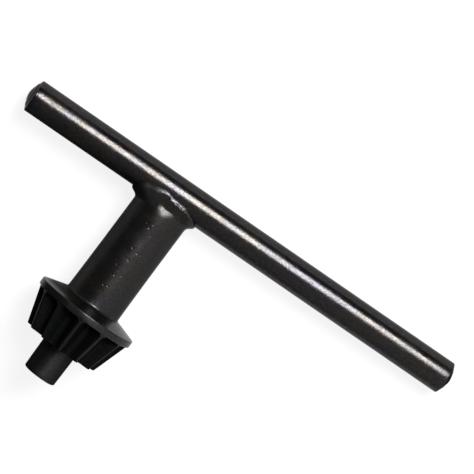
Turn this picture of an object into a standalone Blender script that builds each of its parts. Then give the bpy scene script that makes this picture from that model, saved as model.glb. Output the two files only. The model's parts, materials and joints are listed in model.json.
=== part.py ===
"""Drill chuck key: a plain round handle bar welded across the end of a thick turned shank.

The other end of the shank carries a twelve-tooth bevel pinion, which drives the ring of a
geared chuck, and below it a plain pilot that fits the hole in the chuck's body. The key
lies as it comes to rest on a bench: on the rim of its pinion, the shoulder of its shank
and the long end of its bar, with the pilot and the short end of the bar in the air.

Metres, +Z up. The bar points along X with its long side at +X, the shank points to -Y.
"""
import math

import bmesh
import bpy
from mathutils import Matrix, Vector

MM = 0.001

# Handle bar: round rod with a low turned crown on each end, welded on off its middle.
BAR_RADIUS = 3.0 * MM
BAR_LONG_SIDE = 56.7 * MM
BAR_SHORT_SIDE = 29.2 * MM
CROWN_HEIGHT = 0.95 * MM
CROWN_MID_HEIGHT = 0.53 * MM
CROWN_FLAT_RADIUS = 0.65 * MM
CROWN_FLAT_RISE = 0.05 * MM
CROWN_EDGE = 0.14 * MM

# The bar stands a little out of square with the shank, its long side raised.
BAR_LEAN = math.radians(2.0)

# Shank: depths are measured from the axis of the bar, down the axis of the shank.
SHANK_RADIUS = 5.16 * MM
SHANK_FOOT_RADIUS = 5.26 * MM
SHANK_FOOT_DEPTH = 23.75 * MM
FOOT_FILLET = 0.45 * MM
BACK_SLOPE = math.radians(18.0)

# Weld collar: the end of the shank, upset round the bar nearly to the middle of its flanks.
# It has squeezed out a little further under the short side of the bar. The swells say how
# much of the collar's rise leaves the shank and meets the bar before it turns.
COLLAR_DEPTH = 4.65 * MM
COLLAR_SHIFT = -0.18 * MM
COLLAR_HALF_LENGTH = 6.5 * MM
COLLAR_HALF_WIDTH = 3.25 * MM
COLLAR_SQUARENESS = 3.6
SIDE_SWELL = 0.48
FRONT_SWELL = 0.75
NECK_SWELL = 0.5
WELD_GAP = 0.3 * MM

# Pinion head: a sloping back, a plain rim, then the toothed cone.
TEETH = 12
TOOTH_PHASE = math.radians(-93.7)
RIM_RADIUS = 9.45 * MM
RIM_DEPTH = 25.0 * MM
RIM_THICKNESS = 1.15 * MM
RIM_EDGE = 0.38 * MM
RIM_UNDERCUT = math.radians(72.0)
CONE_TOP_RADIUS = 9.1 * MM
CONE_END_RADIUS = 7.0 * MM
PINION_END_DEPTH = 32.9 * MM
GROOVE_DEPTH_TOP = 2.35 * MM
GROOVE_DEPTH_END = 1.45 * MM
GROOVE_FLOOR_HALF_WIDTH = 0.5 * MM
GROOVE_FLOOR_CORNER = 0.18 * MM
GROOVE_FLANK = math.radians(31.0)
GROOVE_RUN_OUT = 1.1 * MM
CREST_EDGE = 0.14 * MM
TOOTH_END_CHAMFER = 0.15 * MM

# Pilot: tapers a little, with a chamfered end.
PILOT_ROOT_RADIUS = 3.17 * MM
PILOT_END_RADIUS = 3.06 * MM
PILOT_END_DEPTH = 39.1 * MM
PILOT_CHAMFER = 0.28 * MM
PILOT_FILLET = 0.25 * MM

# Fineness of the rings. Each third point of a toothed ring lies under one of a round ring.
ROUND_STEPS = 48
CORNER_STEPS = 2
SADDLE_RINGS = 4
COLLAR_RINGS = 7
RUN_OUT_RINGS = 4
QUARTER_TURN = math.pi / 2
SHARP_ANGLE = math.radians(32.0)


def black_steel(name, colour, roughness):
    """Blackened steel: an oxide finish that is almost black, with a dull metallic sheen."""
    material = bpy.data.materials.new(name)
    material.use_nodes = True
    shader = material.node_tree.nodes["Principled BSDF"]
    shader.inputs["Base Color"].default_value = (*colour, 1.0)
    shader.inputs["Metallic"].default_value = 0.85
    shader.inputs["Roughness"].default_value = roughness
    return material


def finish_object(name, bm, material, parent):
    """Turns the bmesh into a closed, smooth-shaded object under the key's empty."""
    bmesh.ops.recalc_face_normals(bm, faces=bm.faces)
    mesh = bpy.data.meshes.new(name)
    bm.to_mesh(mesh)
    bm.free()
    mesh.shade_smooth()
    mesh.set_sharp_from_angle(angle=SHARP_ANGLE)
    mesh.materials.append(material)
    piece = bpy.data.objects.new(name, mesh)
    bpy.context.collection.objects.link(piece)
    piece.parent = parent
    return piece


def arc_profile(radius, depth, size, start, end, steps):
    """Points of a rounded corner, as pairs of radius and depth."""
    angles = [start + (end - start) * step / steps for step in range(steps + 1)]
    return [(radius + size * math.cos(a), depth + size * math.sin(a)) for a in angles]


# Handle bar

def crown_profile(side):
    """Half outline of one end of the bar, from its cylinder to its centre."""
    corner = BAR_RADIUS - CROWN_EDGE
    return [
        (BAR_RADIUS, side - CROWN_EDGE),
        (corner, side),
        ((corner + CROWN_FLAT_RADIUS) / 2, side + CROWN_MID_HEIGHT),
        (CROWN_FLAT_RADIUS, side + CROWN_HEIGHT - CROWN_FLAT_RISE),
        (0.0, side + CROWN_HEIGHT),
    ]


def build_handle_bar(parent):
    """The bar, revolved about Z and laid across the shank by its own rotation."""
    short_end = [(r, -z) for r, z in crown_profile(BAR_SHORT_SIDE)]
    outline = short_end[::-1] + crown_profile(BAR_LONG_SIDE)
    bm = bmesh.new()
    points = [bm.verts.new((r, 0.0, z)) for r, z in outline]
    edges = [bm.edges.new(pair) for pair in zip(points, points[1:])]
    bmesh.ops.spin(bm, geom=points + edges, cent=(0, 0, 0), axis=(0, 0, 1), dvec=(0, 0, 0),
                   angle=math.tau, steps=ROUND_STEPS, use_merge=True)
    bmesh.ops.remove_doubles(bm, verts=bm.verts, dist=1e-6)
    bar = finish_object("handle_bar", bm, black_steel("bar_black", (0.022, 0.022, 0.023), 0.3), parent)
    bar.rotation_euler = (0.0, math.radians(90.0) - BAR_LEAN, 0.0)
    return bar


# Shank, weld collar, pinion and pilot, which are one turned and toothed piece

def round_angles():
    """Directions around the shank. They start in line with a tooth, as the toothed rings do."""
    return [TOOTH_PHASE + math.tau * step / ROUND_STEPS for step in range(ROUND_STEPS)]


def round_ring(bm, radius, depth):
    """A plain circle of the round parts of the shank."""
    return [bm.verts.new((radius * math.cos(a), radius * math.sin(a), -depth)) for a in round_angles()]


def bridge(bm, first, second):
    """Quads between two rings of as many points each."""
    count = len(first)
    for i in range(count):
        j = (i + 1) % count
        bm.faces.new((first[i], second[i], second[j], first[j]))


def bridge_three_to_one(bm, few, many):
    """Joins a plain ring to a toothed one, which has three points for each of its own."""
    count = len(few)
    for i in range(count):
        near, far = few[i], few[(i + 1) % count]
        a, b, c, d = (many[(3 * i + k) % len(many)] for k in range(4))
        bm.faces.new((near, a, b))
        bm.faces.new((near, b, c, far))
        bm.faces.new((far, c, d))


def close_ring(bm, ring, centre):
    """Fills a ring with triangles that meet at one point."""
    tip = bm.verts.new(centre)
    for i, point in enumerate(ring):
        bm.faces.new((point, ring[(i + 1) % len(ring)], tip))


def signed_power(value, power):
    return math.copysign(abs(value) ** power, value)


def saddle_point(angle, scale=1.0):
    """A point of the saddle under the bar, on the collar's edge where scale is 1."""
    power = 2.0 / COLLAR_SQUARENESS
    x = COLLAR_SHIFT + scale * COLLAR_HALF_LENGTH * signed_power(math.cos(angle), power)
    y = scale * COLLAR_HALF_WIDTH * signed_power(math.sin(angle), power)
    drop = math.sqrt((BAR_RADIUS + WELD_GAP) ** 2 - y * y)
    return Vector((x, y, x * math.tan(BAR_LEAN) - drop / math.cos(BAR_LEAN)))


def collar_point(angle, share):
    """A point of the collar's outside: up off the shank, over to the bar and up its flank."""
    x, y = SHANK_RADIUS * math.cos(angle), SHANK_RADIUS * math.sin(angle)
    foot = Vector((x, y, x * math.tan(BAR_LEAN) - COLLAR_DEPTH))
    edge = saddle_point(angle)
    rise = Vector((0.0, 0.0, edge.z - foot.z))
    swell = SIDE_SWELL + (FRONT_SWELL - SIDE_SWELL) * math.sin(angle) ** 2
    above_foot = foot + swell * rise
    below_edge = edge - NECK_SWELL * rise
    left = 1.0 - share
    return (left ** 3 * foot + 3 * left ** 2 * share * above_foot
            + 3 * left * share ** 2 * below_edge + share ** 3 * edge)


def add_collar(bm):
    """The saddle and the upset collar. Returns the ring where the plain shank starts."""
    angles = round_angles()
    scales = [step / SADDLE_RINGS for step in range(1, SADDLE_RINGS)]
    saddle = [[bm.verts.new(saddle_point(a, scale)) for a in angles] for scale in scales]
    shares = [1.0 - step / COLLAR_RINGS for step in range(COLLAR_RINGS + 1)]
    outside = [[bm.verts.new(collar_point(a, share)) for a in angles] for share in shares]
    rings = saddle + outside
    close_ring(bm, rings[0], saddle_point(0.0, 0.0))
    for first, second in zip(rings, rings[1:]):
        bridge(bm, first, second)
    return rings[-1]


def groove_points(outer, depth, spread):
    """Half of one tooth gap across the axis, from the middle of its floor to its tooth's crest.

    Each point is a radius and an angle from the middle of the gap. Where the gap has run
    out, the points lie on the round and stay spread as for a gap of the depth named spread.
    """
    floor = outer - depth
    slope = math.tan(GROOVE_FLANK)
    half = GROOVE_FLOOR_HALF_WIDTH
    crest = math.asin((half + max(depth, spread) * slope) / outer)
    rounding = min(CREST_EDGE, depth / 3)
    corner = min(GROOVE_FLOOR_CORNER, depth / 5)
    steps = [
        (0.0, 0.0),
        (half - corner, 0.0),
        (half + corner * slope, corner),
        (half + depth / 2 * slope, depth / 2),
    ]
    points = [(math.hypot(side, floor + up), math.atan2(side, floor + up)) for side, up in steps]
    points.append((outer - rounding, crest - rounding * slope / outer))
    points.append((outer, crest + rounding / 2 / outer))
    points.append((outer, math.pi / TEETH))
    return points


def toothed_ring(bm, outer, depth, level, spread):
    """A section across the pinion at one depth down the shank."""
    half = groove_points(outer, depth, spread)
    pitch = math.tau / TEETH
    tooth = [(r, -a) for r, a in half[::-1]] + half[1:-1]
    ring = []
    for k in range(TEETH):
        middle = TOOTH_PHASE + (k + 0.5) * pitch
        for radius, angle in tooth:
            x = radius * math.cos(middle + angle)
            y = radius * math.sin(middle + angle)
            ring.append(bm.verts.new((x, y, -level)))
    return ring


def add_rim(bm):
    """The sloping back's outer edge and the plain rim. Returns its first and last ring."""
    spread = groove_depth(run_out_levels()[1])
    inset = RIM_RADIUS - RIM_EDGE
    last = RIM_DEPTH + RIM_THICKNESS - RIM_EDGE
    top = arc_profile(inset, RIM_DEPTH + RIM_EDGE, RIM_EDGE, -QUARTER_TURN, 0.0, CORNER_STEPS + 1)
    bottom = arc_profile(inset, last, RIM_EDGE, 0.0, RIM_UNDERCUT, CORNER_STEPS)
    rings = [toothed_ring(bm, r, 0.0, z, spread) for r, z in top + bottom]
    for first, second in zip(rings, rings[1:]):
        bridge(bm, first, second)
    return rings[0], rings[-1]


def cone_radius(level):
    """Radius of the tooth crests at one depth down the shank."""
    start = RIM_DEPTH + RIM_THICKNESS
    share = (level - start) / (PINION_END_DEPTH - start)
    return CONE_TOP_RADIUS + (CONE_END_RADIUS - CONE_TOP_RADIUS) * share


def groove_depth(level):
    """Depth of the tooth gaps, which run out in a rounded end below the rim."""
    start = RIM_DEPTH + RIM_THICKNESS
    share = (level - start) / (PINION_END_DEPTH - start)
    full = GROOVE_DEPTH_TOP + (GROOVE_DEPTH_END - GROOVE_DEPTH_TOP) * share
    run = min((level - start) / GROOVE_RUN_OUT, 1.0)
    return full * math.sqrt(1.0 - (1.0 - run) ** 2)


def run_out_levels():
    """Depths of the sections through the rounded upper ends of the tooth gaps."""
    start = RIM_DEPTH + RIM_THICKNESS
    turns = [QUARTER_TURN * step / RUN_OUT_RINGS for step in range(RUN_OUT_RINGS + 1)]
    return [start + GROOVE_RUN_OUT * (1.0 - math.cos(turn)) for turn in turns]


def add_teeth(bm, rim_ring):
    """The toothed cone below the rim. Returns the ring at its small end."""
    run_out = run_out_levels()
    chamfer_level = PINION_END_DEPTH - TOOTH_END_CHAMFER
    levels = run_out + [(run_out[-1] + chamfer_level) / 2, chamfer_level]
    spread = groove_depth(run_out[1])
    rings = [rim_ring]
    for level in levels:
        rings.append(toothed_ring(bm, cone_radius(level), groove_depth(level), level, spread))
    end_outer = CONE_END_RADIUS - TOOTH_END_CHAMFER
    end_depth = GROOVE_DEPTH_END - TOOTH_END_CHAMFER
    rings.append(toothed_ring(bm, end_outer, end_depth, PINION_END_DEPTH, spread))
    for first, second in zip(rings, rings[1:]):
        bridge(bm, first, second)
    return rings[-1]


def add_pilot(bm, end_ring):
    """The pinion's flat end and the pilot below it."""
    fillet = arc_profile(PILOT_ROOT_RADIUS + PILOT_FILLET, PINION_END_DEPTH + PILOT_FILLET,
                         PILOT_FILLET, -QUARTER_TURN, -math.pi, CORNER_STEPS)
    end = [
        (PILOT_END_RADIUS, PILOT_END_DEPTH - PILOT_CHAMFER),
        (PILOT_END_RADIUS - PILOT_CHAMFER, PILOT_END_DEPTH),
    ]
    rings = [round_ring(bm, radius, depth) for radius, depth in fillet + end]
    bridge_three_to_one(bm, rings[0], end_ring)
    for first, second in zip(rings, rings[1:]):
        bridge(bm, first, second)
    bm.faces.new(rings[-1])


def build_pinion_shank(parent):
    """Shank, collar, pinion and pilot as one closed body, lofted down its axis."""
    bm = bmesh.new()
    collar_ring = add_collar(bm)
    foot_depth = SHANK_FOOT_DEPTH - FOOT_FILLET * math.cos(BACK_SLOPE)
    foot = arc_profile(SHANK_FOOT_RADIUS + FOOT_FILLET, foot_depth, FOOT_FILLET,
                       math.pi, QUARTER_TURN + BACK_SLOPE, CORNER_STEPS)
    rings = [collar_ring] + [round_ring(bm, radius, depth) for radius, depth in foot]
    for first, second in zip(rings, rings[1:]):
        bridge(bm, first, second)
    back_edge, rim_end = add_rim(bm)
    bridge_three_to_one(bm, rings[-1], back_edge)
    add_pilot(bm, add_teeth(bm, rim_end))
    return finish_object("pinion_shank", bm, black_steel("shank_black", (0.02, 0.019, 0.019), 0.36), parent)


# Rest on the bench

def resting_rotation():
    """How the key turns when it is put down on its back.

    The shank rises towards the pinion, because the rim is wider than the shoulder where
    the shank meets the collar. The key then rolls on those two round edges until the long
    end of its bar touches the bench.
    """
    rim_touch = RIM_DEPTH + RIM_EDGE
    shares = [step / COLLAR_RINGS for step in range(COLLAR_RINGS + 1)]
    shoulder = [collar_point(QUARTER_TURN, share) for share in shares]
    pitch = min(math.atan2(RIM_RADIUS - p.y, rim_touch + p.z) for p in shoulder)
    joint_height = RIM_RADIUS * math.cos(pitch) - rim_touch * math.sin(pitch)
    slope = (math.asin(joint_height / math.hypot(BAR_LONG_SIDE, BAR_RADIUS))
             - math.atan2(BAR_RADIUS, BAR_LONG_SIDE))
    drop = math.sin(slope) - math.sin(pitch) * math.sin(BAR_LEAN)
    roll = math.asin(drop / (math.cos(pitch) * math.cos(BAR_LEAN)))
    laid = Matrix.Rotation(-QUARTER_TURN - pitch, 3, "X") @ Matrix.Rotation(roll, 3, "Z")
    bar = laid @ Vector((math.cos(BAR_LEAN), 0.0, math.sin(BAR_LEAN)))
    return Matrix.Rotation(-math.atan2(bar.y, bar.x), 3, "Z") @ laid


def stand_on_bench(key, pieces):
    """Moves the key until the middle of the bottom of its box is at the origin."""
    key.matrix_world = resting_rotation().to_4x4()
    bpy.context.view_layer.update()
    points = [piece.matrix_world @ v.co for piece in pieces for v in piece.data.vertices]
    low = [min(p[axis] for p in points) for axis in range(3)]
    high = [max(p[axis] for p in points) for axis in range(3)]
    key.location = (-0.5 * (low[0] + high[0]), -0.5 * (low[1] + high[1]), -low[2])


def main():
    for old in list(bpy.data.objects):
        bpy.data.objects.remove(old, do_unlink=True)
    key = bpy.data.objects.new("chuck_key", None)
    bpy.context.collection.objects.link(key)
    pieces = [build_handle_bar(key), build_pinion_shank(key)]
    stand_on_bench(key, pieces)


main()
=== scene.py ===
"""Drill chuck key in blackened steel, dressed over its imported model.

The key lies on a white bench as it comes to rest when it is put down. The real piece is
made in three steps: the bar and the shank are turned, the teeth are milled into the head
of the shank, and the bar is then welded across the shank's other end.
"""
import json
import math

import bmesh
import bpy
from mathutils import Matrix, Vector, noise


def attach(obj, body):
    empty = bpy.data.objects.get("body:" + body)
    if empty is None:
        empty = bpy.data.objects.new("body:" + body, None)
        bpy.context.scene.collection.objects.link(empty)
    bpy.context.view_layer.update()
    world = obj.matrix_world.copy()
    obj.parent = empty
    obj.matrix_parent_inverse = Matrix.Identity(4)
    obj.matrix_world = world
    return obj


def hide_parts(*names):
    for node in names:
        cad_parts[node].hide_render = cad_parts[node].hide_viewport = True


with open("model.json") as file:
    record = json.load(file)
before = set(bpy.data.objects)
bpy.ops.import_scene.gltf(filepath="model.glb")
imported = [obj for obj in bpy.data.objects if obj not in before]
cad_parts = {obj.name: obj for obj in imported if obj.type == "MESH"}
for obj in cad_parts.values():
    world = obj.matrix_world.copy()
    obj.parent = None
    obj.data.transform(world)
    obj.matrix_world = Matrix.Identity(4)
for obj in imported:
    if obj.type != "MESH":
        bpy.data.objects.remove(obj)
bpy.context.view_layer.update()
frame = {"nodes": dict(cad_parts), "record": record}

# Handle bar
# Drawn round rod of 6 mm, cut to length and turned to a low crown at both ends. It is
# welded across the shank off its own middle, so that one side is about twice the other.

MM = 0.001
QUARTER_TURN = math.pi / 2
TOLERANCE = 0.01 * MM
MERGE_DISTANCE = 0.0001 * MM

BAR_RADIUS = 3.0 * MM
BAR_SHORT_SIDE = 29.2 * MM
BAR_LONG_SIDE = 56.7 * MM
BAR_STEPS_ROUND = 160
BAR_STEP_ALONG = 0.9 * MM
CROWN_HEIGHT = 0.95 * MM
CROWN_MID_HEIGHT = 0.53 * MM
CROWN_FLAT_RADIUS = 0.65 * MM
CROWN_FLAT_RISE = 0.05 * MM
CROWN_STEPS = 36
CROWN_CORNER = 0.16 * MM
CROWN_CORNER_PEAK = 0.02 * MM
CROWN_CORNER_STEPS = 5
CROWN_EDGE_RISE = CROWN_CORNER / 4
CORNER_FULLNESS = 0.6
TURNING_FEED = 0.85 * MM
SHORT_END_MARKS = 0.018 * MM
LONG_END_MARKS = 0.004 * MM
SHORT_END_DULLNESS = 0.45
SHORT_SIDE_FADE = (-1.0 * MM, -4.0 * MM)
# Painted shade on the short side's lower flank.
FLANK_SHADE = 0.45
FLANK_FADE = (0.0, 0.5)
BELLY_SHADE = 0.4
BELLY_FADE = (0.65, 0.85)


def crown_tips(node):
    """The middles of the two crowned ends, which are the bar's furthest points along X."""
    points = [vertex.co for vertex in node.data.vertices]
    return min(points, key=lambda p: p.x), max(points, key=lambda p: p.x)


def key_placement():
    """Where the key lies: its Z axis runs up the shank and its X axis along the bar.

    The origin is where the two axes cross, inside the weld. The bar leans from square by
    the angle that is given with it.
    """
    mount = next(m for m in frame["record"]["mounts"] if m["name"] == "pilot_end")
    up_shank = -Vector(mount["axis"]).normalized()
    short_tip, long_tip = crown_tips(frame["nodes"]["handle_bar"])
    along_bar = (long_tip - short_tip).normalized()
    crossing = short_tip + (BAR_SHORT_SIDE + CROWN_HEIGHT) * along_bar
    across = up_shank.cross(along_bar).normalized()
    sideways = across.cross(up_shank)
    turn = Matrix((sideways, across, up_shank)).transposed()
    lean = math.asin(along_bar.dot(up_shank))
    return Matrix.Translation(crossing) @ turn.to_4x4(), lean


key_place, bar_lean = key_placement()
bar_place = key_place @ Matrix.Rotation(QUARTER_TURN - bar_lean, 4, "Y")


def curve_point(start, start_pull, end_pull, end, share):
    """A point of the cubic curve between two places, for anything with a plus and a times."""
    left = 1.0 - share
    return (left ** 3 * start + 3 * left ** 2 * share * start_pull
            + 3 * left * share ** 2 * end_pull + share ** 3 * end)


def rounded_corner(before, corner, after, steps):
    """Points that turn smoothly from one side of a corner to the other."""
    before, corner, after = Vector(before), Vector(corner), Vector(after)
    pull_in = before.lerp(corner, CORNER_FULLNESS)
    pull_out = after.lerp(corner, CORNER_FULLNESS)
    return [curve_point(before, pull_in, pull_out, after, step / steps) for step in range(steps + 1)]


def crown_outline(side, mark_height):
    """Half section of a crowned end, from the cylinder to the middle, as radius and length.

    The turning tool has left fine rings of the given height on it.
    """
    shoulder = Vector((BAR_RADIUS - CROWN_CORNER, side + CROWN_EDGE_RISE))
    belly = Vector(((BAR_RADIUS + CROWN_FLAT_RADIUS) / 2, side + CROWN_MID_HEIGHT))
    flat = Vector((CROWN_FLAT_RADIUS, side + CROWN_HEIGHT - CROWN_FLAT_RISE))
    corner = rounded_corner((BAR_RADIUS, side - CROWN_CORNER), (BAR_RADIUS, side + CROWN_CORNER_PEAK),
                            shoulder, CROWN_CORNER_STEPS)
    dome = []
    for step in range(1, CROWN_STEPS + 1):
        share = 2 * step / CROWN_STEPS
        point = shoulder.lerp(belly, share) if share <= 1.0 else belly.lerp(flat, share - 1.0)
        point.y += mark_height * math.sin(math.tau * point.x / TURNING_FEED)
        dome.append(point)
    nub = [Vector((CROWN_FLAT_RADIUS * left, side + CROWN_HEIGHT - CROWN_FLAT_RISE * left))
           for left in (2 / 3, 1 / 3)]
    return corner + dome + nub


def smooth_step(low, high, value):
    """Rises smoothly from 0 at low to 1 at high, or falls where high is the smaller."""
    share = min(max((value - low) / (high - low), 0.0), 1.0)
    return share * share * (3.0 - 2.0 * share)


def bar_rings_and_shade(place):
    """How dark and dull the bar is at a place, with the bar along Z and its underside at +X.

    Painted shade darkens the whole long crown and the short side's lower flank, and the
    short crown is dull in rings.
    """
    # Painted shade over the whole long crown.
    if place.z > BAR_LONG_SIDE + CROWN_EDGE_RISE - TOLERANCE:
        return 1.0
    if place.z < -BAR_SHORT_SIDE - CROWN_EDGE_RISE + TOLERANCE:
        return SHORT_END_DULLNESS * (0.5 - 0.5 * math.sin(math.tau * place.xy.length / TURNING_FEED))
    low = place.x / BAR_RADIUS
    lower = FLANK_SHADE * smooth_step(*FLANK_FADE, low) + BELLY_SHADE * smooth_step(*BELLY_FADE, low)
    return lower * smooth_step(*SHORT_SIDE_FADE, place.z)


def turned_bar():
    """The rod, spun about its own axis from one crown to the other."""
    short_end = [(point.x, -point.y) for point in crown_outline(BAR_SHORT_SIDE, SHORT_END_MARKS)]
    long_end = [(point.x, point.y) for point in crown_outline(BAR_LONG_SIDE, LONG_END_MARKS)]
    first, last = short_end[0][1], long_end[0][1]
    steps = round((last - first) / BAR_STEP_ALONG)
    rod = [(BAR_RADIUS, first + (last - first) * step / steps) for step in range(1, steps)]
    outline = [(0.0, -BAR_SHORT_SIDE - CROWN_HEIGHT)] + short_end[::-1] + rod + long_end
    outline.append((0.0, BAR_LONG_SIDE + CROWN_HEIGHT))
    bm = bmesh.new()
    points = [bm.verts.new((radius, 0.0, along)) for radius, along in outline]
    edges = [bm.edges.new(pair) for pair in zip(points, points[1:])]
    bmesh.ops.spin(bm, geom=points + edges, cent=(0, 0, 0), axis=(0, 0, 1), dvec=(0, 0, 0),
                   angle=math.tau, steps=BAR_STEPS_ROUND, use_merge=True)
    bmesh.ops.remove_doubles(bm, verts=bm.verts, dist=MERGE_DISTANCE)
    bmesh.ops.recalc_face_normals(bm, faces=bm.faces)
    dull = bm.verts.layers.float.new("dull")
    marked = bm.verts.layers.float.new("marked")
    for point in bm.verts:
        point[dull] = bar_rings_and_shade(point.co)
        point[marked] = 1.0
    return bm


def lay_piece(name, bm, place, finish):
    """Makes the piece's object, with its place on the bench in its mesh."""
    mesh = bpy.data.meshes.new(name)
    bm.to_mesh(mesh)
    bm.free()
    mesh.transform(place)
    mesh.shade_smooth()
    mesh.materials.append(finish)
    piece = bpy.data.objects.new(name, mesh)
    bpy.context.collection.objects.link(piece)
    return piece


def add_node(tree, kind, inputs=None, **settings):
    """A node with its settings, its constants and its incoming links."""
    node = tree.nodes.new(kind)
    for setting, value in settings.items():
        setattr(node, setting, value)
    for socket, value in (inputs or {}).items():
        if isinstance(value, bpy.types.NodeSocket):
            tree.links.new(value, node.inputs[socket])
        else:
            node.inputs[socket].default_value = value
    return node


def add_maths(tree, operation, *values):
    """The result of one sum on sockets and constants."""
    return add_node(tree, "ShaderNodeMath", dict(enumerate(values)), operation=operation).outputs[0]


def add_noise(tree, place, scale, detail, roughness):
    """The level of a cloudy pattern, from 0 to 1. Its scale is in patches a metre."""
    return add_node(tree, "ShaderNodeTexNoise", {
        "Vector": place, "Scale": scale, "Detail": detail, "Roughness": roughness,
    }).outputs["Fac"]


def add_range(tree, level, low, high, new_low=0.0, new_high=1.0, **settings):
    """A level stretched from one range to another, and held at the ends."""
    return add_node(tree, "ShaderNodeMapRange", {
        "Value": level, "From Min": low, "From Max": high, "To Min": new_low, "To Max": new_high,
    }, **settings).outputs["Result"]


def add_mix(tree, share, first, second, **settings):
    """A colour between two others, each of them a socket or three numbers."""
    first, second = [side if isinstance(side, bpy.types.NodeSocket) else (*side, 1.0)
                     for side in (first, second)]
    return add_node(tree, "ShaderNodeMix", {"Factor": share, 6: first, 7: second},
                    data_type="RGBA", **settings).outputs[2]


# Each pattern is its patches a metre, its detail and how strong its finer layers are.
TINT_PATTERN = (190.0, 2.0, 0.5)
TINT_RANGE = (0.4, 0.6)
WARM_TINT = (1.06, 1.01, 0.92)
VIOLET_TINT = (0.98, 0.95, 1.05)
FLECK_PATTERN = (3400.0, 1.0, 0.5)
FLECK_RANGE = (0.3, 0.7)
ROUGH_PATTERN = (330.0, 4.0, 0.6)
ROUGH_RANGE = (0.35, 0.68)
ROUGHNESS_BELOW = 0.05
ROUGHNESS_ABOVE = 0.07
# Thick oxide in the tooth gaps and painted shade elsewhere take this darker sheen, edge and roughness.
OXIDE_AND_SHADE_SHEEN = (0.013, 0.013, 0.013)
OXIDE_AND_SHADE_EDGE = (0.1, 0.1, 0.1)
OXIDE_AND_SHADE_ROUGHNESS = 0.3
METAL_SHARE = 0.93
DENTS_A_METRE = 1400.0
DENT_REACH = 0.4
UNDENTED_SHARE = 0.74
GRAIN_PATTERN = (5200.0, 3.0, 0.65)
GRAIN_DEPTH = 0.012 * MM


def blackened_steel(name, place, sheen, edge_sheen, roughness, speckle, dent_depth):
    """Steel under a thin black oxide: almost no colour of its own, and a dark dull sheen.

    The oxide is warm in some patches and violet in others, lightly flecked, and not
    equally rough. Where the mesh's attribute says so it is darker and rougher: thick oxide
    in the tooth gaps, and painted shade in other places. The grain of the steel
    shows through it, and so do a few small dents from handling, in the marked zone.
    """
    material = bpy.data.materials.new(name)
    material.use_nodes = True
    tree = material.node_tree
    shader = tree.nodes["Principled BSDF"]
    back = place.inverted()
    on_piece = add_node(tree, "ShaderNodeMapping", {
        "Vector": add_node(tree, "ShaderNodeTexCoord").outputs["Object"],
        "Location": back.translation, "Rotation": back.to_euler(),
    }).outputs["Vector"]
    dull = add_node(tree, "ShaderNodeAttribute", attribute_name="dull").outputs["Fac"]
    marked = add_node(tree, "ShaderNodeAttribute", attribute_name="marked").outputs["Fac"]

    violet = add_range(tree, add_noise(tree, on_piece, *TINT_PATTERN), *TINT_RANGE)
    warm_sheen, violet_sheen = [tuple(c * t for c, t in zip(sheen, tint))
                                for tint in (WARM_TINT, VIOLET_TINT)]
    tinted = add_mix(tree, violet, warm_sheen, violet_sheen)
    flecks = add_noise(tree, on_piece, *FLECK_PATTERN)
    speckled = add_node(tree, "ShaderNodeVectorMath", {
        0: tinted, "Scale": add_range(tree, flecks, *FLECK_RANGE, 1.0 - speckle, 1.0 + speckle),
    }, operation="SCALE").outputs["Vector"]
    # The mesh's attribute darkens the sheen: thick oxide in the tooth gaps, painted shade in other places.
    colour = add_mix(tree, dull, speckled, OXIDE_AND_SHADE_SHEEN, clamp_factor=False)
    edge = add_mix(tree, dull, (edge_sheen, edge_sheen, edge_sheen), OXIDE_AND_SHADE_EDGE)
    tree.links.new(colour, shader.inputs["Base Color"])
    tree.links.new(edge, shader.inputs["Specular Tint"])
    shader.inputs["Metallic"].default_value = METAL_SHARE

    patches = add_noise(tree, on_piece, *ROUGH_PATTERN)
    rough = add_range(tree, patches, *ROUGH_RANGE, roughness - ROUGHNESS_BELOW, roughness + ROUGHNESS_ABOVE)
    rougher = add_maths(tree, "MULTIPLY_ADD", dull, OXIDE_AND_SHADE_ROUGHNESS, rough)
    tree.links.new(rougher, shader.inputs["Roughness"])

    spots = add_node(tree, "ShaderNodeTexVoronoi", {
        "Vector": on_piece, "Scale": DENTS_A_METRE, "Randomness": 1.0,
    }, feature="F1").outputs
    hollow = add_range(tree, spots["Distance"], 0.0, DENT_REACH, 1.0, 0.0)
    few = add_maths(tree, "GREATER_THAN", spots["Color"], UNDENTED_SHARE)
    dents = add_maths(tree, "MULTIPLY", hollow, add_maths(tree, "MULTIPLY", few, marked))
    dented = add_node(tree, "ShaderNodeBump", {
        "Height": dents, "Distance": dent_depth, "Strength": 1.0,
    }, invert=True).outputs["Normal"]
    grain = add_noise(tree, on_piece, *GRAIN_PATTERN)
    grained = add_node(tree, "ShaderNodeBump", {
        "Height": grain, "Distance": GRAIN_DEPTH, "Strength": 1.0, "Normal": dented,
    }).outputs["Normal"]
    tree.links.new(grained, shader.inputs["Normal"])
    return material


BAR_SHEEN = (0.0345, 0.0335, 0.0337)
bar_finish = blackened_steel("bar_black_oxide", bar_place, BAR_SHEEN, edge_sheen=0.6, roughness=0.2,
                             speckle=0.4, dent_depth=0.010 * MM)
bar = lay_piece("crowned_bar", turned_bar(), bar_place, bar_finish)
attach(bar, "root")
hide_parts("handle_bar")

# Pinion teeth
# Twelve straight bevel teeth, milled into the cone of the shank's head with a form cutter.
# One pitch is drawn, from the middle of a tooth to the middle of the next, and is then
# repeated round the shank.

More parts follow.
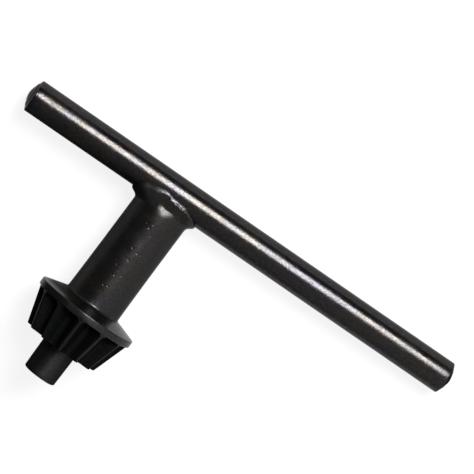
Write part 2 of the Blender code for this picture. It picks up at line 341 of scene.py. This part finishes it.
TEETH = 12
TOOTH_PHASE = math.radians(-93.7)
HALF_PITCH = math.pi / TEETH
RIM_RADIUS = 9.45 * MM
RIM_DEPTH = 24.88 * MM
RIM_THICKNESS = 1.3 * MM
RIM_EDGE = 0.2 * MM
RIM_LOWER_TURN = math.radians(72.0)
RIM_EDGE_STEPS = 5
CONE_TOP_DEPTH = RIM_DEPTH + RIM_THICKNESS
CONE_TOP_RADIUS = 9.1 * MM
CONE_END_RADIUS = 7.0 * MM
PINION_END_DEPTH = 32.9 * MM
GROOVE_DEPTH_TOP = 2.35 * MM
GROOVE_DEPTH_END = 1.45 * MM
GROOVE_FLOOR_HALF_WIDTH = 0.5 * MM
GROOVE_FLOOR_CORNER = 0.3 * MM
GROOVE_FLOOR_STEPS = 3
GROOVE_FLANK = math.radians(33.5)
GROOVE_FLANK_STEPS = 5
GROOVE_RUN_OUT = 0.7 * MM
GROOVE_RUN_OUT_STEPS = 12
GROOVE_STEPS = 14
CREST_EDGE = 0.2 * MM
CREST_EDGE_SHARE = 0.75
CREST_EDGE_STEPS = 4
TOOTH_END_EDGE = 0.2 * MM
TOOTH_END_STEPS = 4
SPREAD_DEPTH = CONE_TOP_DEPTH + 0.3 * GROOVE_RUN_OUT
GAP_SHADE_DEPTH = 0.03 * MM
GAP_OXIDE_AND_SHADE = 1.27
CREST_DULLNESS = 0.35
JOIN_DISTANCE = 0.001 * MM


def tooth_gap_half(outer, depth, spread):
    """Half of a tooth gap across the axis, as radius and angle, from its floor to the crest.

    Where the gap has run out the points lie on the round, spread as for a gap of the
    depth named spread, so that each section has the same count of points. The crest's
    rounded edge never reaches past the middle of the tooth.
    """
    slope = math.tan(GROOVE_FLANK)
    half = GROOVE_FLOOR_HALF_WIDTH
    shape = max(depth, spread)
    crest = math.asin((half + shape * slope) / outer)
    edge = min(CREST_EDGE, shape / 3, CREST_EDGE_SHARE * (HALF_PITCH - crest) * outer)
    corner = min(GROOVE_FLOOR_CORNER, shape / 4)
    sections = [Vector((0.0, 0.0)), Vector(((half - corner) / 2, 0.0))]
    sections += rounded_corner((half - corner, 0.0), (half, 0.0), (half + corner * slope, corner),
                               GROOVE_FLOOR_STEPS)
    high = shape - edge
    for step in range(1, GROOVE_FLANK_STEPS):
        height = corner + (high - corner) * step / GROOVE_FLANK_STEPS
        sections.append(Vector((half + height * slope, height)))
    points = []
    for side, height in sections:
        up = outer - depth + height * depth / shape
        points.append((min(math.hypot(side, up), outer), math.atan2(side, up)))
    turn = rounded_corner((outer - edge * depth / shape, crest - edge * slope / outer), (outer, crest),
                          (outer, crest + edge / outer), CREST_EDGE_STEPS)
    points += [(bend.x, bend.y) for bend in turn]
    last = points[-1][1]
    points += [(outer, last + (HALF_PITCH - last) * step / 2) for step in (1, 2)]
    return points


def down_the_cone(depth, at_top, at_end):
    """A size that changes evenly from the top of the toothed cone to its small end."""
    share = (depth - CONE_TOP_DEPTH) / (PINION_END_DEPTH - CONE_TOP_DEPTH)
    return at_top + (at_end - at_top) * share


def cone_radius(depth):
    """Radius of the crests of the teeth at one depth down the shank."""
    return down_the_cone(depth, CONE_TOP_RADIUS, CONE_END_RADIUS)


def gap_depth(depth):
    """How deep the tooth gaps are there. Their upper ends are as round as the cutter."""
    full = down_the_cone(depth, GROOVE_DEPTH_TOP, GROOVE_DEPTH_END)
    run = min((depth - CONE_TOP_DEPTH) / GROOVE_RUN_OUT, 1.0)
    return full * math.sqrt(1.0 - (1.0 - run) ** 2)


def equal_turns(whole, steps):
    """Angles from nothing to the whole turn, in equal steps."""
    return [whole * step / steps for step in range(steps + 1)]


def pitch_sections():
    """Sections across the head, from the rim's upper edge to the edge of its small end.

    Each is a crest radius, a gap depth and a depth down the shank.
    """
    top = [(RIM_RADIUS - RIM_EDGE * (1 - math.sin(a)), 0.0, RIM_DEPTH + RIM_EDGE * (1 - math.cos(a)))
           for a in equal_turns(QUARTER_TURN, RIM_EDGE_STEPS)]
    last = RIM_DEPTH + RIM_THICKNESS - RIM_EDGE
    under = [(RIM_RADIUS - RIM_EDGE * (1 - math.cos(a)), 0.0, last + RIM_EDGE * math.sin(a))
             for a in equal_turns(RIM_LOWER_TURN, RIM_EDGE_STEPS)]
    depths = [CONE_TOP_DEPTH + GROOVE_RUN_OUT * (1.0 - math.cos(a))
              for a in equal_turns(QUARTER_TURN, GROOVE_RUN_OUT_STEPS)]
    start, end = depths[-1], PINION_END_DEPTH - TOOTH_END_EDGE
    depths += [start + (end - start) * step / GROOVE_STEPS for step in range(1, GROOVE_STEPS + 1)]
    cone = [(cone_radius(depth), gap_depth(depth), depth) for depth in depths]
    small_end = []
    for a in equal_turns(QUARTER_TURN, TOOTH_END_STEPS)[1:]:
        inset = TOOTH_END_EDGE * (1 - math.cos(a))
        small_end.append((cone_radius(end) - inset, gap_depth(end) - inset,
                          end + TOOTH_END_EDGE * math.sin(a)))
    return top + under + cone + small_end


def tooth_pitch():
    """One pitch of the head as an open strip of quads about the Z axis.

    The oxide is thick in the gap, which is darker still as painted shade, and a little
    duller on the crests than on the rim.
    """
    bm = bmesh.new()
    dull = bm.verts.layers.float.new("dull")
    spread = gap_depth(SPREAD_DEPTH)
    middle = TOOTH_PHASE + HALF_PITCH
    rows = []
    for outer, cut, depth in pitch_sections():
        half = tooth_gap_half(outer, cut, spread)
        crest_dullness = CREST_DULLNESS if cut > 0.0 else 0.0
        row = []
        for radius, angle in [(r, -a) for r, a in half[::-1]] + half[1:]:
            x, y = radius * math.cos(middle + angle), radius * math.sin(middle + angle)
            point = bm.verts.new((x, y, -depth))
            shade = min((outer - radius) / GAP_SHADE_DEPTH, 1.0)
            # Thick oxide in the gap, and painted shade that darkens it past that.
            point[dull] = crest_dullness + (GAP_OXIDE_AND_SHADE - crest_dullness) * shade
            row.append(point)
        rows.append(row)
    for upper, lower in zip(rows, rows[1:]):
        for i in range(len(upper) - 1):
            bm.faces.new((upper[i], lower[i], lower[i + 1], upper[i + 1]))
    return bm


def ring_of_teeth_tree():
    """Geometry nodes that repeat one pitch round the Z axis and join the copies."""
    tree = bpy.data.node_groups.new("Ring of teeth", "GeometryNodeTree")
    sockets = {}
    for name, kind in (("Pitch", "NodeSocketGeometry"), ("Teeth", "NodeSocketInt"),
                       ("Join distance", "NodeSocketFloat"), ("Finish", "NodeSocketMaterial")):
        sockets[name] = tree.interface.new_socket(name, in_out="INPUT", socket_type=kind)
    tree.interface.new_socket("Head", in_out="OUTPUT", socket_type="NodeSocketGeometry")
    given = tree.nodes.new("NodeGroupInput").outputs
    seats = add_node(tree, "GeometryNodeMeshLine", {"Count": given["Teeth"], "Offset": (0.0, 0.0, 0.0)})
    number = add_node(tree, "GeometryNodeInputIndex").outputs["Index"]
    step = add_maths(tree, "DIVIDE", math.tau, given["Teeth"])
    turn = add_maths(tree, "MULTIPLY", number, step)
    about_z = add_node(tree, "ShaderNodeCombineXYZ", {"Z": turn})
    ring = add_node(tree, "GeometryNodeInstanceOnPoints", {
        "Points": seats.outputs["Mesh"], "Instance": given["Pitch"],
        "Rotation": about_z.outputs["Vector"],
    })
    solid = add_node(tree, "GeometryNodeRealizeInstances", {"Geometry": ring.outputs["Instances"]})
    joined = add_node(tree, "GeometryNodeMergeByDistance", {
        "Geometry": solid.outputs["Geometry"], "Distance": given["Join distance"],
    })
    finished = add_node(tree, "GeometryNodeSetMaterial", {
        "Geometry": joined.outputs["Geometry"], "Material": given["Finish"],
    })
    result = tree.nodes.new("NodeGroupOutput")
    tree.links.new(finished.outputs["Geometry"], result.inputs["Head"])
    return tree, sockets


SHANK_SHEEN = (0.0362, 0.0353, 0.0349)
shank_finish = blackened_steel("shank_black_oxide", key_place, SHANK_SHEEN, edge_sheen=0.68,
                               roughness=0.29, speckle=0.2, dent_depth=0.046 * MM)


def toothed_head():
    """The mesh of the whole head, made from one pitch by the nodes."""
    blank = bpy.data.meshes.new("tooth_pitch")
    pitch = tooth_pitch()
    pitch.to_mesh(blank)
    pitch.free()
    head = bpy.data.objects.new("toothed_head", blank)
    bpy.context.collection.objects.link(head)
    tree, sockets = ring_of_teeth_tree()
    nodes = head.modifiers.new("Ring of teeth", "NODES")
    nodes.node_group = tree
    nodes[sockets["Teeth"].identifier] = TEETH
    nodes[sockets["Join distance"].identifier] = JOIN_DISTANCE
    nodes[sockets["Finish"].identifier] = shank_finish
    bpy.context.view_layer.update()
    made = bpy.data.meshes.new_from_object(head.evaluated_get(bpy.context.evaluated_depsgraph_get()))
    bpy.data.objects.remove(head)
    return made


# Shank and pilot
# A thick turned shank, whose foot runs out in a small fillet onto the sloping back of the
# head. A plain pilot with a chamfered end, which fits the hole in the chuck, stands out
# below the teeth.

SHANK_RADIUS = 5.16 * MM
SHANK_FOOT_RADIUS = 5.26 * MM
SHANK_FOOT_DEPTH = 23.75 * MM
SHANK_STEPS = 20
COLLAR_DEPTH = 4.65 * MM
FOOT_FILLET = 0.45 * MM
FOOT_FILLET_STEPS = 5
BACK_SLOPE = math.radians(18.0)
BACK_STEPS = 7
PILOT_ROOT_RADIUS = 3.17 * MM
PILOT_END_RADIUS = 3.06 * MM
PILOT_END_DEPTH = 39.1 * MM
PILOT_STEPS = 8
PILOT_CHAMFER = 0.3 * MM
PILOT_CHAMFER_CORNER = 0.1 * MM
PILOT_CHAMFER_STEPS = 6
PILOT_FILLET = 0.25 * MM
PILOT_FILLET_STEPS = 5
HEAD_FACE_SHARES = (0.35, 0.7)
PILOT_FACE_SHARES = (0.66, 0.33)

# Fades and bands go round the shank, by the cosine of the angle from the bar's long end.
# The rim back's fade goes outwards instead, by share, and the dents' goes down by height.
# Most levels below are painted shade; the dents' band only says where the dents go.
SHADE_BELOW_SHORT_END_FADE = (-0.25, -0.5)
RIM_LEFT_FADE = (-1.0, -0.85)
RIM_BACK_SHADE = 0.55
RIM_BACK_FADE = (1.0, 0.5)
PILOT_SHADE = 0.35
PILOT_SIDE_SHADE = 0.35
PILOT_SIDE_BAND = ((0.3, 0.65), (1.0, 0.9))
LEFT_SIDE_SHADE = 0.5
LEFT_SIDE_FADE = (-0.55, -0.8)
RIGHT_SIDE_SHADE = 0.3
RIGHT_SIDE_BAND = ((0.4, 0.75), (1.0, 0.93))
DENTS_BAND = ((-0.45, -0.2), (0.45, 0.3))
DENTS_FADE = (-COLLAR_DEPTH - 0.5 * MM, -COLLAR_DEPTH - 1.5 * MM)


def smooth_band(rise, fall, value):
    """Rises smoothly over one range of the value, and falls again over another."""
    return smooth_step(*rise, value) * smooth_step(*fall, value)


def shade_below_short_end(angle):
    """How strong the painted shade is on the side below the bar's short end."""
    return smooth_step(*SHADE_BELOW_SHORT_END_FADE, math.cos(angle))


def round_ring(bm, angles, radius, depth):
    """Points on a circle about the Z axis, at one depth down the shank."""
    return [bm.verts.new((radius * math.cos(a), radius * math.sin(a), -depth)) for a in angles]


def bridge(bm, rings):
    """Quads between each ring and the next, which has as many points."""
    for first, second in zip(rings, rings[1:]):
        for i in range(len(first)):
            j = (i + 1) % len(first)
            bm.faces.new((first[i], second[i], second[j], first[j]))


def plain_rings(bm, start, angles, foot_depth):
    """The turned length between the collar and the foot.

    Its rings slant as the one it starts from does, and ever less on the way down.
    """
    rings = []
    for step in range(1, SHANK_STEPS):
        share = step / SHANK_STEPS
        radius = SHANK_RADIUS + (SHANK_FOOT_RADIUS - SHANK_RADIUS) * share ** 3
        ring = round_ring(bm, angles, radius, COLLAR_DEPTH + (foot_depth - COLLAR_DEPTH) * share)
        for point, above in zip(ring, start):
            point.co.z += (above.co.z + COLLAR_DEPTH) * (1.0 - share)
        rings.append(ring)
    return rings


def rim_back_rings(bm, angles, head_angles, foot_depth, dull):
    """The fillet at the shank's foot, then the sloping back of the head out to the rim."""
    rings = []
    for step in range(FOOT_FILLET_STEPS + 1):
        share = step / FOOT_FILLET_STEPS
        a = math.pi + (BACK_SLOPE - QUARTER_TURN) * share
        rings.append(round_ring(bm, angles, SHANK_FOOT_RADIUS + FOOT_FILLET + FOOT_FILLET * math.cos(a),
                                foot_depth + FOOT_FILLET * math.sin(a)))
        for point, angle in zip(rings[-1], angles):
            # Painted shade on the side below the bar's short end.
            point[dull] = RIM_BACK_SHADE * shade_below_short_end(angle) * share
    inner = Vector((rings[-1][0].co.xy.length, -rings[-1][0].co.z))
    outer = Vector((RIM_RADIUS - RIM_EDGE, RIM_DEPTH))
    for step in range(1, BACK_STEPS):
        share = step / BACK_STEPS
        radius, depth = inner.lerp(outer, share)
        turned = [a + (b - a) * share for a, b in zip(angles, head_angles)]
        rings.append(round_ring(bm, turned, radius, depth))
        for point, angle in zip(rings[-1], angles):
            # Painted shade on the side below the bar's short end.
            point[dull] = RIM_BACK_SHADE * shade_below_short_end(angle) * smooth_step(*RIM_BACK_FADE, share)
    return rings


def pilot(bm, angles, head_ring, dull):
    """The flat small end of the head and the plain pilot, with its chamfered end."""
    rings = [head_ring]
    root = PILOT_ROOT_RADIUS + PILOT_FILLET
    for share in HEAD_FACE_SHARES:
        ring = round_ring(bm, angles, root, PINION_END_DEPTH)
        for point, outer in zip(ring, head_ring):
            point.co = outer.co.lerp(point.co, share)
        rings.append(ring)
    for step in range(PILOT_FILLET_STEPS + 1):
        a = -QUARTER_TURN - QUARTER_TURN * step / PILOT_FILLET_STEPS
        rings.append(round_ring(bm, angles, root + PILOT_FILLET * math.cos(a),
                                PINION_END_DEPTH + PILOT_FILLET + PILOT_FILLET * math.sin(a)))
    top = PINION_END_DEPTH + PILOT_FILLET
    bottom = PILOT_END_DEPTH - PILOT_CHAMFER
    for step in range(1, PILOT_STEPS + 1):
        share = step / PILOT_STEPS
        radius = PILOT_ROOT_RADIUS + (PILOT_END_RADIUS - PILOT_ROOT_RADIUS) * share
        rings.append(round_ring(bm, angles, radius, top + (bottom - top) * share))
    corner = rounded_corner((PILOT_END_RADIUS, bottom),
                            (PILOT_END_RADIUS, PILOT_END_DEPTH - PILOT_CHAMFER_CORNER),
                            (PILOT_END_RADIUS - PILOT_CHAMFER, PILOT_END_DEPTH), PILOT_CHAMFER_STEPS)
    rings += [round_ring(bm, angles, radius, depth) for radius, depth in corner[1:]]
    for share in PILOT_FACE_SHARES:
        rings.append(round_ring(bm, angles, share * PILOT_END_RADIUS, PILOT_END_DEPTH))
    bridge(bm, rings)
    # Painted shade on the pilot, stronger below the short end and in a band towards the long end.
    for ring in rings[1 + len(HEAD_FACE_SHARES):]:
        for point, angle in zip(ring, angles):
            side = smooth_band(*PILOT_SIDE_BAND, math.cos(angle))
            point[dull] = max(shade_below_short_end(angle), PILOT_SHADE + PILOT_SIDE_SHADE * side)
    tip = bm.verts.new((0.0, 0.0, -PILOT_END_DEPTH))
    for i, point in enumerate(rings[-1]):
        bm.faces.new((rings[-1][(i + 1) % len(angles)], point, tip))


def dull_rim_wall(bm, dull):
    """Paints shade on the rim's wall below the bar's short end, but for its far left."""
    for point in bm.verts:
        if -CONE_TOP_DEPTH < point.co.z < -RIM_DEPTH - RIM_EDGE / 2:
            angle = math.atan2(point.co.y, point.co.x)
            wall = shade_below_short_end(angle) * smooth_step(*RIM_LEFT_FADE, math.cos(angle))
            point[dull] = max(point[dull], wall)


def shade_edges_and_mark_near_side(bm, dull):
    """Paints shade on both edges of the shank's near side, and marks the zone between for the dents."""
    marked = bm.verts.layers.float.new("marked")
    for point in bm.verts:
        if point.co.y < 0.0 and -SHANK_FOOT_DEPTH < point.co.z < -BAR_RADIUS:
            across = point.co.x / SHANK_RADIUS
            point[marked] = smooth_step(*DENTS_FADE, point.co.z) * smooth_band(*DENTS_BAND, across)
            # Painted shade on the left and right edges of the near side.
            left = LEFT_SIDE_SHADE * smooth_step(*LEFT_SIDE_FADE, across)
            right = RIGHT_SIDE_SHADE * smooth_band(*RIGHT_SIDE_BAND, across)
            point[dull] = max(point[dull], left + right)


# Weld collar
# The shank's upper end has been upset round the bar and fused to it, so that the steel
# climbs the bar's flanks in a smooth collar. It closes the shank, the head and the pilot
# into one body.

COLLAR_SHIFT = -0.18 * MM
COLLAR_HALF_LENGTH = 6.45 * MM
COLLAR_SHORT_CLIMB = math.radians(85.0)
COLLAR_LONG_CLIMB = math.radians(76.5)
COLLAR_SHORT_SQUARENESS = 3.4
COLLAR_LONG_SQUARENESS = 2.15
COLLAR_BITE = -0.05 * MM
COLLAR_END_RISE = 0.75 * MM
COLLAR_FOOT_RISE = 1.0 * MM
COLLAR_LONG_SIDE = (-0.6, 0.6)
COLLAR_SHORT_SIDE = (0.06, -0.16)
COLLAR_HOLLOW = (0.2, 0.8)
COLLAR_FULLNESS = (-0.62, -0.22)
COLLAR_WAVER = 0.035
COLLAR_WAVER_BUMPS = 3.0
COLLAR_WAVER_SEED = 4.7
COLLAR_STEPS = 50
SADDLE_DEPTH = 0.4 * BAR_RADIUS
SADDLE_SHARES = (0.3, 0.65)
WELD_KINK = math.radians(20.0)
LIP_HEIGHT = 0.14 * MM
LIP_BAND_DEGREES = ((-68.0, -50.0), (-12.0, -26.0))
FILLET_OUT = 0.15
FILLET_OUT_LEAST = 0.2
FILLET_DOWN = 0.25
FILLET_SHARE = 0.4
FILLET_START_PULL = 0.5 * MM
FILLET_END_PULL = 0.12 * MM
SHOULDER_OUT = 0.85
SHOULDER_OUT_LEAST = 0.8
SHOULDER_DOWN = 0.6
SHOULDER_FLATNESS = 0.74
SHOULDER_SHARE = 0.62
SHOULDER_LEAN = math.radians(22.0)

# These bands and the fade of painted shade go down the collar, by share.
SLOPE_SHADE = 0.75
SLOPE_BAND = ((FILLET_SHARE - 0.05, FILLET_SHARE + 0.05), (SHOULDER_SHARE + 0.01, SHOULDER_SHARE - 0.04))
COLLAR_SHADE_FADE = (1.0, 0.7)
RAGGED_HEIGHT = 0.036 * MM
RAGGED_BAND = ((0.0, 0.12), (0.6, 0.35))
RAGGED_BUMPS_A_METRE = Vector((900.0, 1900.0, 1900.0))
RAGGED_LAYERS = (0.8, 2.2, 3)


def weld_line(angle):
    """Where the collar meets the bar, with the way its surface sets off down from there.

    It climbs higher beside the short end. On the near side of the long end its edge
    stands off the bar as a thin lip.
    """
    along, round_bar = math.cos(angle), math.sin(angle)
    long_side = smooth_step(*COLLAR_LONG_SIDE, along)
    power = COLLAR_SHORT_SQUARENESS + (COLLAR_LONG_SQUARENESS - COLLAR_SHORT_SQUARENESS) * long_side
    reach = (abs(along) ** power + abs(round_bar) ** power) ** (-1.0 / power)
    x = COLLAR_SHIFT + COLLAR_HALF_LENGTH * along * reach
    short_side = smooth_step(*COLLAR_SHORT_SIDE, along)
    climb = COLLAR_LONG_CLIMB + (COLLAR_SHORT_CLIMB - COLLAR_LONG_CLIMB) * short_side
    climb *= round_bar * reach
    waver = noise.noise(Vector((COLLAR_WAVER_BUMPS * along, COLLAR_WAVER_BUMPS * round_bar,
                                COLLAR_WAVER_SEED)))
    climb *= 1.0 + COLLAR_WAVER * waver
    lip = smooth_band(*LIP_BAND_DEGREES, math.degrees(angle))
    radius = BAR_RADIUS - COLLAR_BITE + LIP_HEIGHT * lip
    point = Vector((x, radius * math.sin(climb), x * math.tan(bar_lean) - radius * math.cos(climb)))
    start = abs(climb) + WELD_KINK
    down = Vector((0.0, math.copysign(math.cos(start), -climb), -math.sin(start)))
    return point, down


def flank_shape(edge, down, foot, share, fullness):
    """The collar beside the bar: a hollow fillet, a sloping shoulder and a round turn.

    Fullness says how far the fillet and the shoulder stand off the bar there, from least
    at 0 to all the way at 1.
    """
    out = Vector((foot.x - edge.x, foot.y - edge.y, 0.0))
    drop = Vector((0.0, 0.0, foot.z - edge.z))
    fillet_out = FILLET_OUT * (FILLET_OUT_LEAST + (1.0 - FILLET_OUT_LEAST) * fullness)
    shoulder_out = SHOULDER_OUT * (SHOULDER_OUT_LEAST + (1.0 - SHOULDER_OUT_LEAST) * fullness)
    waist = edge + fillet_out * out + FILLET_DOWN * drop
    shoulder = edge + shoulder_out * out + SHOULDER_DOWN * drop
    shoulder.y *= (abs(foot.y) / SHANK_RADIUS) ** (SHOULDER_FLATNESS - 1.0)
    slope = (shoulder - waist).normalized()
    if share < FILLET_SHARE:
        return curve_point(edge, edge + FILLET_START_PULL * down, waist - FILLET_END_PULL * slope, waist,
                           share / FILLET_SHARE)
    if share < SHOULDER_SHARE:
        return waist.lerp(shoulder, (share - FILLET_SHARE) / (SHOULDER_SHARE - FILLET_SHARE))
    turn = foot.z - shoulder.z
    lean = math.tan(SHOULDER_LEAN) * turn / 3
    start = shoulder + Vector((-lean * foot.x / SHANK_RADIUS, -lean * foot.y / SHANK_RADIUS, turn / 3))
    return curve_point(shoulder, start, foot - Vector((0.0, 0.0, turn / 3)), foot,
                       (share - SHOULDER_SHARE) / (1.0 - SHOULDER_SHARE))


def collar_point(angle, share):
    """A point of the collar's outside, from the weld line down to the plain shank.

    At its two ends the collar stands straight up. Beside the bar it is hollow, and there
    its fillet is ragged where the steel has run.
    """
    edge, down = weld_line(angle)
    x, y = SHANK_RADIUS * math.cos(angle), SHANK_RADIUS * math.sin(angle)
    foot = Vector((x, y, x * math.tan(bar_lean) - COLLAR_DEPTH))
    end_shape = curve_point(edge, edge - Vector((0.0, 0.0, COLLAR_END_RISE)),
                            foot + Vector((0.0, 0.0, COLLAR_FOOT_RISE)), foot, share)
    beside = smooth_step(*COLLAR_HOLLOW, math.sin(angle) ** 2)
    fullness = smooth_step(*COLLAR_FULLNESS, math.cos(angle))
    point = end_shape.lerp(flank_shape(edge, down, foot, share, fullness), beside)
    ragged = beside * smooth_band(*RAGGED_BAND, share)
    push = noise.fractal(point * RAGGED_BUMPS_A_METRE, *RAGGED_LAYERS)
    outward = 0.7 * Vector((math.cos(angle), math.sin(angle), 1.0))
    return point + RAGGED_HEIGHT * ragged * push * outward


def collar_rings(bm, hub, angles, dull):
    """From the hidden saddle under the bar, up to the weld line and down over the collar."""
    rings = [[bm.verts.new(hub.co.lerp(collar_point(a, 0.0), share)) for a in angles]
             for share in SADDLE_SHARES]
    for step in range(COLLAR_STEPS + 1):
        share = step / COLLAR_STEPS
        rings.append([bm.verts.new(collar_point(a, share)) for a in angles])
        # Painted shade on the sloping shoulder, and on the collar's upper part below the short end.
        sloping = SLOPE_SHADE * smooth_band(*SLOPE_BAND, share)
        upper = smooth_step(*COLLAR_SHADE_FADE, share)
        for point, angle in zip(rings[-1], angles):
            point[dull] = max(sloping * math.sin(angle) ** 2, upper * shade_below_short_end(angle))
    return rings


def shank_upper_half(bm, angles, head_ring, head_angles, dull):
    """From the hidden saddle under the bar, over the collar and down to the head."""
    foot_depth = SHANK_FOOT_DEPTH - FOOT_FILLET * math.cos(BACK_SLOPE)
    hub = bm.verts.new((COLLAR_SHIFT, 0.0, -SADDLE_DEPTH))
    rings = collar_rings(bm, hub, angles, dull)
    weld = rings[len(SADDLE_SHARES)]
    rings += plain_rings(bm, rings[-1], angles, foot_depth)
    rings += rim_back_rings(bm, angles, head_angles, foot_depth, dull)
    rings.append(head_ring)
    for i, point in enumerate(rings[0]):
        bm.faces.new((hub, point, rings[0][(i + 1) % len(angles)]))
    bridge(bm, rings)
    for i, point in enumerate(weld):
        bm.edges.get((point, weld[(i + 1) % len(weld)])).smooth = False


def open_ring(bm, depth):
    """The points of the head's open edge at one depth, in order round the axis."""
    points = {v for edge in bm.edges if edge.is_boundary for v in edge.verts
              if abs(v.co.z + depth) < TOLERANCE}
    return sorted(points, key=lambda v: math.atan2(v.co.y, v.co.x))


def whole_shank():
    """Head, shank, collar and pilot as one closed body about the Z axis.

    The points of the head's rim aren't evenly spaced, so the sloping back turns them
    into the even ones of the shank.
    """
    bm = bmesh.new()
    bm.from_mesh(toothed_head())
    upper = open_ring(bm, RIM_DEPTH)
    lower = open_ring(bm, PINION_END_DEPTH)
    head_angles = [math.atan2(point.co.y, point.co.x) for point in upper]
    count = len(head_angles)
    first = sum(head_angles) / count - math.pi * (count - 1) / count
    angles = [first + math.tau * i / count for i in range(count)]
    dull = bm.verts.layers.float["dull"]
    dull_rim_wall(bm, dull)
    shank_upper_half(bm, angles, upper, head_angles, dull)
    pilot(bm, angles, lower, dull)
    bmesh.ops.remove_doubles(bm, verts=bm.verts, dist=MERGE_DISTANCE)
    bmesh.ops.recalc_face_normals(bm, faces=bm.faces)
    shade_edges_and_mark_near_side(bm, dull)
    return bm


shank = lay_piece("toothed_shank", whole_shank(), key_place, shank_finish)
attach(shank, "root")
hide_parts("pinion_shank")

# Bench, light and camera
# A plain white bench top in a dim room that is pale on the right and dark on the left. A
# soft light near the camera draws the bright line on the bar.

CAMERA_PLACE = Vector((-46.38, 141.63, 500.32)) * MM
CAMERA_TURN = (math.radians(-14.408), math.radians(3.867), math.radians(34.944))
CAMERA_LENS = 227.836
CAMERA_NEAREST = 0.01
BENCH_HALF_SIZE = 3.0
BENCH_COLOUR = (0.15, 0.15, 0.15, 1.0)
BENCH_ROUGHNESS = 0.9
BENCH_SHINE = 0.1
BENCH_GLOW = 0.85
ROOM_PALE_SIDE = -36.9
ROOM_PALE_FADE = (0.0, 0.38)
ROOM_PALE_LEVEL = 0.76
ROOM_DARK_SIDE = 55.5
ROOM_DARK_FADE = (0.45, 0.1)
ROOM_DARK_LEVEL = 0.07
WHITE = (1.0, 1.0, 1.0, 1.0)

camera = bpy.data.objects.new("camera", bpy.data.cameras.new("camera"))
camera.location = CAMERA_PLACE
camera.rotation_euler = CAMERA_TURN
camera.data.lens = CAMERA_LENS
camera.data.clip_start = CAMERA_NEAREST
bpy.context.collection.objects.link(camera)
bpy.context.scene.camera = camera


def white_bench():
    """A matt white top that shows as white, and keeps the key's shadow."""
    material = bpy.data.materials.new("white_bench")
    material.use_nodes = True
    tree = material.node_tree
    shader = tree.nodes["Principled BSDF"]
    shader.inputs["Base Color"].default_value = BENCH_COLOUR
    shader.inputs["Roughness"].default_value = BENCH_ROUGHNESS
    shader.inputs["Specular IOR Level"].default_value = BENCH_SHINE
    shader.inputs["Emission Color"].default_value = WHITE
    path = add_node(tree, "ShaderNodeLightPath").outputs
    mirrored = add_maths(tree, "MAXIMUM", path["Is Camera Ray"], path["Is Glossy Ray"])
    seen = add_maths(tree, "MAXIMUM", mirrored, path["Is Transmission Ray"])
    tree.links.new(add_maths(tree, "MULTIPLY", seen, BENCH_GLOW), shader.inputs["Emission Strength"])
    return material


bench_face = bmesh.new()
bmesh.ops.create_grid(bench_face, x_segments=1, y_segments=1, size=BENCH_HALF_SIZE)
bench = lay_piece("bench_top", bench_face, Matrix.Identity(4), white_bench())

camera_axes = camera.rotation_euler.to_matrix()
towards_camera = camera_axes.col[2]


def picture_direction(around):
    """A direction across the picture, in degrees from right towards up."""
    turn = math.radians(around)
    return math.cos(turn) * camera_axes.col[0] + math.sin(turn) * camera_axes.col[1]


def half_dark_room():
    """A dim room that is pale towards one side, and black again beyond it on another."""
    world = bpy.data.worlds.new("half_dark_room")
    world.use_nodes = True
    tree = world.node_tree
    looking = add_node(tree, "ShaderNodeTexCoord").outputs["Generated"]
    shares = []
    for around, fade in ((ROOM_PALE_SIDE, ROOM_PALE_FADE), (ROOM_DARK_SIDE, ROOM_DARK_FADE)):
        level = add_node(tree, "ShaderNodeVectorMath", {
            0: looking, 1: picture_direction(around),
        }, operation="DOT_PRODUCT").outputs["Value"]
        shares.append(add_range(tree, level, *fade, interpolation_type="SMOOTHSTEP"))
    both = add_maths(tree, "MULTIPLY", *shares)
    strength = add_range(tree, both, 0.0, 1.0, ROOM_DARK_LEVEL, ROOM_PALE_LEVEL)
    tree.links.new(strength, tree.nodes["Background"].inputs["Strength"])
    tree.nodes["Background"].inputs["Color"].default_value = WHITE
    return world


bpy.context.scene.world = half_dark_room()


def soft_light(name, around, tilt, distance, width, height, brightness):
    """A soft light with straight sides that faces the key.

    Around is its direction in the picture, in degrees from right towards up, and tilt is
    how far it stands from the line to the camera. Its width runs across that direction.
    """
    outward = picture_direction(around)
    tilt = math.radians(tilt)
    direction = math.cos(tilt) * towards_camera + math.sin(tilt) * outward
    across = direction.cross(outward).normalized()
    upright = across.cross(direction)
    light = bpy.data.lights.new(name, "AREA")
    light.shape = "RECTANGLE"
    light.size = width
    light.size_y = height
    light.energy = brightness * math.pi * width * height
    lamp = bpy.data.objects.new(name, light)
    turn = Matrix((-across, upright, direction)).transposed()
    lamp.matrix_world = Matrix.Translation(distance * direction) @ turn.to_4x4()
    bpy.context.collection.objects.link(lamp)


soft_light("strip_light", around=30.5, tilt=27.5, distance=1.0, width=0.34, height=0.49, brightness=29.0)

bpy.context.scene.view_settings.view_transform = "Standard"
